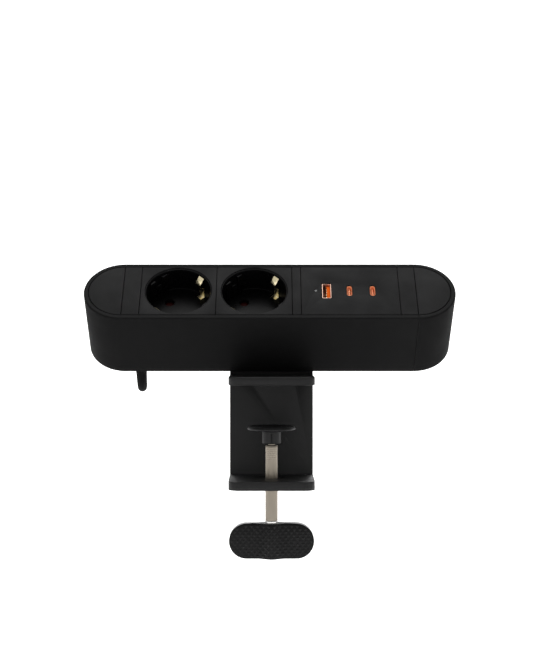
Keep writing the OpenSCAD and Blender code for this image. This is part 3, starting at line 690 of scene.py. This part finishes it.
# ---------------------------------------------------------------- USB ports
ua = 36.5
shell_a = join("usb_a", slab("sa", [rrect(ua - 2.85, ua + 2.85, -6.55, 6.55, 0.6), rrect(ua - 2.5, ua + 2.5, -6.2, 6.2, 0.4)], -15.4, -0.5, 0.1, BF, 1),
               block(ua - 2.7, ua + 2.7, -6.4, 6.4, -15.3, -14.7, BF))
springs_a = [block(ua - 2.55, ua - 2.2, v - 1.1, v + 1.1, -9.5, -4.5, BF, 0.1) for v in (-3, 3)]
add("usb_a_shell_shape", join("usb_a", shell_a, *springs_a), "warm_steel", nodes=["usb_a_shell"])
add("usb_a_tongue_shape", block(ua + 0.1, ua + 2.3, -5.7, 5.7, -14.6, -1.9, BF, 0.15), "orange_plastic", nodes=["usb_a_tongue"])
add("usb_a_contacts", join("uac", *[block(ua - 0.1, ua + 0.15, v - 0.6, v + 0.6, -12, -2.8, BF, 0.05) for v in (-3.5, -1.2, 1.2, 3.5)]), "earth_metal")
shells, tongues, contacts = [], [], []
for u in (51.1, 65.9):
    shells.append(slab("sc", [stadium_v(u, 0, 9.0, 3.2), stadium_v(u, 0, 8.4, 2.6)], -15.4, -0.5, 0.08, BF, 1))
    shells.append(slab("scf", [stadium_v(u, 0, 8.7, 2.9)], -15.3, -14.6, 0.05, BF, 1))
    tongues.append(block(u - 0.4, u + 0.4, -3.3, 3.3, -14.6, -2.0, BF, 0.12))
    tongues.append(slab("tf", [stadium_v(u, 0, 8.3, 2.5)], -5.2, -4.4, 0.1, BF, 1))
    for s in (-1, 1):
        for k in range(6):
            v = -2.5 + k
            contacts.append(block(u + s * 0.42 - 0.06, u + s * 0.42 + 0.06, v - 0.18, v + 0.18, -4.3, -2.4, BF))
add("usb_c_shells_shape", join("ucs", *shells), "copper_plastic", nodes=["usb_c_shells"])
add("usb_c_tongues_shape", join("uct", *tongues), "copper_plastic", nodes=["usb_c_tongues"])
add("usb_c_contacts", join("ucc", *contacts), "earth_metal")

# ---------------------------------------------------------------- clamp
HW, HJ, TB, JT, ZB = 27.0, 22.5, 4.0, 5.5, -59.5


def jaw_plan(y1, grow=0.0):
    pts = [(HW + grow, y1), (-HW - grow, y1)]
    for cx, a in ((-HW + 7, 180), (HW - 7, 270)):
        for i in range(13):
            t = math.radians(a + 90 * i / 12)
            pts.append((cx + (7 + grow) * math.cos(t), -HJ + 7 + (7 + grow) * math.sin(t)))
    return pts


add("upper_jaw_shape", slab("uj", [jaw_plan(HJ - 0.02), rrect(-24, 24, -20, 20, 4)], 0.4, 1.4, 0.15), "black_steel")
add("upper_jaw_top_shape", slab("ujt", [jaw_plan(HJ - 0.02)], 0.9, 5.4, 0.45), "black_steel", nodes=["upper_jaw"])
pad_ribs = [slab("pr", [rrect(-23.9, 23.9, -19.9, 19.9, 3.9)], 0.1, 1.4, 0.2)]
pad_ribs += [block(-22, 22, y - 0.8, y + 0.8, 0, 0.6, None, 0.15) for y in range(-17, 19, 4)]
add("upper_jaw_pad_shape", join("ujp", *pad_ribs), "rubber_pad", nodes=["upper_jaw_pad"])
rounded("clamp_bracket", 0.45, "black_steel", seg=2, angle=30)
rounded("bracket_screws", 0.2, "bright_steel")
rounded("jaw_rivets", 0.15, "bright_steel")
nut = lathe("nut", [(4.06, -65.0), (6.7, -65.0), (7.0, -64.7), (7.0, -59.8), (6.7, -59.5), (4.5, -59.5), (4.06, -59.9)], 64, closed=True)
add("spindle_nut_shape", nut, "black_steel", nodes=["spindle_nut"])

# spindle with a shallow rolled thread
turns = (-63.0, -42.0)
prof = [(0, -107), (3.9, -107)]
z = -100.0
prof += [(4.0, -106.8), (4.0, -100.0)]
while z < -40.2:
    prof += [(4.0, z + 0.15), (3.965, z + 0.625), (4.0, z + 1.1)]
    z += 1.25
prof += [(4.0, -39.0), (3.6, -38.4), (2.3, -38.3), (2.3, -35.3)] + arc_pts(0, -33, 3.3, -44, 90, 14)[:-1] + [(0, -29.7)]
add("spindle_shape", lathe("spindle", prof, 64), "satin_steel", body="screw", nodes=["spindle"], angle=45)
collar = lathe("collar", [(4.0, -90.2), (4.4, -90.2), (4.4, -86.7), (4.1, -86.3), (4.0, -86.3)], 64, closed=True)
add("spindle_collar_shape", collar, "bright_steel", body="screw", nodes=["spindle_collar"])
rounded("knob_pin", 0.3, "bright_steel", body="screw")

# wing knob: rounded stadium with a diamond knurl, and a hub
KL, K0, K1 = 54.0, -110.2, -87.9
KC, KR = (K0 + K1) / 2, (K1 - K0) / 2
stad = []
for s, a in ((1, -90), (-1, 90)):
    for i in range(33):
        t = math.radians(a + 180 * i / 32)
        stad.append((s * (KL / 2 - KR) + KR * math.cos(t), KR * math.sin(t)))
KM = Matrix.Translation((0, 0, KC)) @ Matrix.Rotation(math.radians(90), 4, "X")
wing = slab("wing", [stad], -4.15, 4.15, 0.7, KM, 3)
HUBW = 8.6


def base_depth(x):
    """Half thickness of the wing: flat, with a smooth swelling over the spindle."""
    t = min(1.0, abs(x) / HUBW)
    return 4.1 + 4.0 * math.cos(math.pi / 2 * t) ** 1.5 * (1 - t * t * 0.25)


xs_b = [-HUBW + HUBW * 2 * k / 40 for k in range(41)]
bulge = slab("bulge", [[(x, -base_depth(x)) for x in xs_b] + [(x, base_depth(x)) for x in reversed(xs_b)]], K0, K1, 0.6, None, 2)
bore = lathe("bore", [(0, K0 - 1), (3.9, K0 - 1), (3.9, K0 + 3.4), (0, K0 + 3.4)], 48)
collar_bore = lathe("bore2", [(0, K1 - 2.3), (4.42, K1 - 2.3), (4.42, K1 + 1), (0, K1 + 1)], 48)
bulge = cut(bulge, bore, collar_bore)
PX, PZ2 = 3.6, 3.8


def clamp_in(x, zz, m=0.9):
    r = KR - m
    cx = max(-(KL / 2 - KR), min(KL / 2 - KR, x))
    d = math.hypot(x - cx, zz)
    if d > r:
        return cx + (x - cx) * r / d, zz * r / d, True
    return x, zz, False


knurl = bmesh.new()
for side in (-1, 1):
    for j2 in range(-7, 8):
        for i2 in range(-17, 18):
            if (i2 + j2) % 2:
                continue
            cx, cz = i2 * PX / 2, j2 * PZ2 / 2
            ax, az, outside = clamp_in(cx, cz)
            if outside:
                continue
            vs = []
            for dx, dz in ((PX / 2, 0), (0, PZ2 / 2), (-PX / 2, 0), (0, -PZ2 / 2)):
                x, zz, _ = clamp_in(cx + dx * 0.94, cz + dz * 0.94)
                vs.append(knurl.verts.new((x, side * (base_depth(x) - 0.15), KC + zz)))
            inner = []
            for dx, dz in ((PX / 2, 0), (0, PZ2 / 2), (-PX / 2, 0), (0, -PZ2 / 2)):
                x, zz, _ = clamp_in(cx + dx * 0.2, cz + dz * 0.2)
                inner.append(knurl.verts.new((x, side * (base_depth(x) + 0.42), KC + zz)))
            for k in range(4):
                n = (k + 1) % 4
                knurl.faces.new((vs[k], vs[n], inner[n], inner[k]))
            knurl.faces.new(inner)
            knurl.faces.new(list(reversed(vs)))
bmesh.ops.transform(knurl, matrix=Matrix.Scale(MM, 4), verts=knurl.verts)
bmesh.ops.recalc_face_normals(knurl, faces=knurl.faces)
n_plain = len(wing.polygons) + len(bulge.polygons)
knob = add("knob_shape", join("knob", wing, bulge, to_mesh(knurl, "knurl")), "knob_plastic", body="screw", nodes=["knob"], angle=32)
for p in knob.data.polygons:
    if p.index >= n_plain:
        p.use_smooth = False

# pressure pad on its ball
prd = 15.25
pad = lathe("pad", [(0, -30.2), (6.1, -30.1), (6.6, -29.95), (11.2, -29.25), (14.4, -28.72)] + arc_pts(14.55, -28.0, 0.7, -80, 80, 8) + [(14.0, -27.3), (0, -27.3)], 96)
hubp = lathe("hubp", [(3.4, -37.1), (3.7, -37.5), (5.6, -37.5), (6.0, -37.1), (6.0, -29.8), (4.5, -29.8), (4.5, -33), (3.4, -35.6)], 72, closed=True)
hubp = cut(hubp, block(-0.42, 0.42, -7, -4.75, -38, -31.0), block(-0.42, 0.42, 4.75, 7, -38, -31.0))
add("pad_disc_shape", join("padd", pad, hubp), "black_steel", body="pad", nodes=["pad_disc"])
prub = lathe("prub", [(0, -27.3), (14.6, -27.3), (14.75, -27.1), (14.6, -26.55), (13.6, -26.4), (12.9, -26.4), (12.6, -26.65), (11.9, -26.65), (11.6, -26.4), (8.6, -26.4), (8.3, -26.65), (7.6, -26.65), (7.3, -26.4), (0, -26.4)], 96)
add("pad_rubber_shape", prub, "rubber_pad", body="pad", nodes=["pad_rubber"])

# ---------------------------------------------------------------- CAD nodes kept as they are
KEEP = {
    "socket_base_left": "inner_plastic", "socket_base_right": "inner_plastic", "live_contacts": "brass_contact",
    "neutral_contacts": "brass_contact", "earth_busbar": "brass_contact", "shutter_left": "red_plastic",
    "shutter_right": "red_plastic", "shutter_springs": "bright_steel", "usb_board": "board", "power_board": "board",
    "transformer": "transformer_tape", "capacitors": "capacitor_sleeve", "heat_sink": "aluminium_part",
    "status_light_pipe": "clear_light_pipe", "terminal_block": "inner_plastic", "wire_live": "wire_brown",
    "wire_neutral": "wire_blue", "wire_earth": "wire_green", "cord_clamp": "black_plastic",
    "cord_clamp_screws": "bright_steel", "ball_seat": "black_plastic",
}
for nm, ob in NODES.items():
    if ob.hide_render:
        continue
    mat = KEEP.get(nm, "black_plastic")
    ob.data.materials.clear()
    ob.data.materials.append(M[mat])
    if nm not in KEEP:
        print("node left with the fallback material:", nm)

# ---------------------------------------------------------------- stage and light
def emitter(name, size, loc, target, power, color=(1, 1, 1)):
    la = bpy.data.lights.new(name, "AREA")
    la.shape = "RECTANGLE"
    la.size, la.size_y = size
    la.energy = power
    la.color = color
    ob = bpy.data.objects.new(name, la)
    coll.objects.link(ob)
    ob.location = loc
    ob.rotation_euler = (Vector(target) - Vector(loc)).to_track_quat("-Z", "Y").to_euler()
    return ob


floor_bm = bmesh.new()
prof = [(-6.0, -0.145), (2.6, -0.145)] + [(2.6 + 1.4 * math.sin(math.radians(a)), -0.145 + 1.4 * (1 - math.cos(math.radians(a)))) for a in range(8, 91, 8)] + [(4.0, 6.0)]
rows = [[floor_bm.verts.new((x, y, z)) for y, z in prof] for x in (-7, 7)]
for k in range(len(prof) - 1):
    floor_bm.faces.new((rows[0][k], rows[1][k], rows[1][k + 1], rows[0][k + 1]))
bmesh.ops.recalc_face_normals(floor_bm, faces=floor_bm.faces)
floor_me = to_mesh(floor_bm, "floor")
finish_mesh(floor_me, 60)
floor = bpy.data.objects.new("floor", floor_me)
coll.objects.link(floor)
fm = bpy.data.materials.new("floor")
fm.use_nodes = True
fb = fm.node_tree.nodes["Principled BSDF"]
fb.inputs["Base Color"].default_value = (0.92, 0.92, 0.92, 1)
fb.inputs["Roughness"].default_value = 0.9
fb.inputs["Specular IOR Level"].default_value = 0.1
fb.inputs["Emission Color"].default_value = (1, 1, 1, 1)
fb.inputs["Emission Strength"].default_value = 0.62
floor_me.materials.append(fm)
floor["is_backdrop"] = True

world = bpy.data.worlds.new("world")
world.use_nodes = True
world.node_tree.nodes["Background"].inputs[0].default_value = (1, 1, 1, 1)
world.node_tree.nodes["Background"].inputs[1].default_value = 0.55
scene.world = world
top = emitter("top_box", (1.6, 1.2), (0, -0.1, 1.7), (0, 0, 0.05), 19)
left = emitter("left_box", (3, 3), (-2.2, -1.2, 0.9), (0, 0, 0), 3.0)
right = emitter("right_box", (3, 3), (2.2, -1.2, 0.9), (0, 0, 0), 2.2)
back = emitter("backdrop_light", (5, 2), (0, 1.6, 2.6), (0, 4.2, 0.6), 60)
scene.view_settings.view_transform = "Standard"
scene.view_settings.look = "None"

visual_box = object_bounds()


def plain(b):
    if isinstance(b, dict):
        return {k: plain(v) for k, v in b.items()}
    return [plain(x) if hasattr(x, "__len__") else float(x) for x in b]


{"cad": plain(cad_box), "visual": plain(visual_box)}
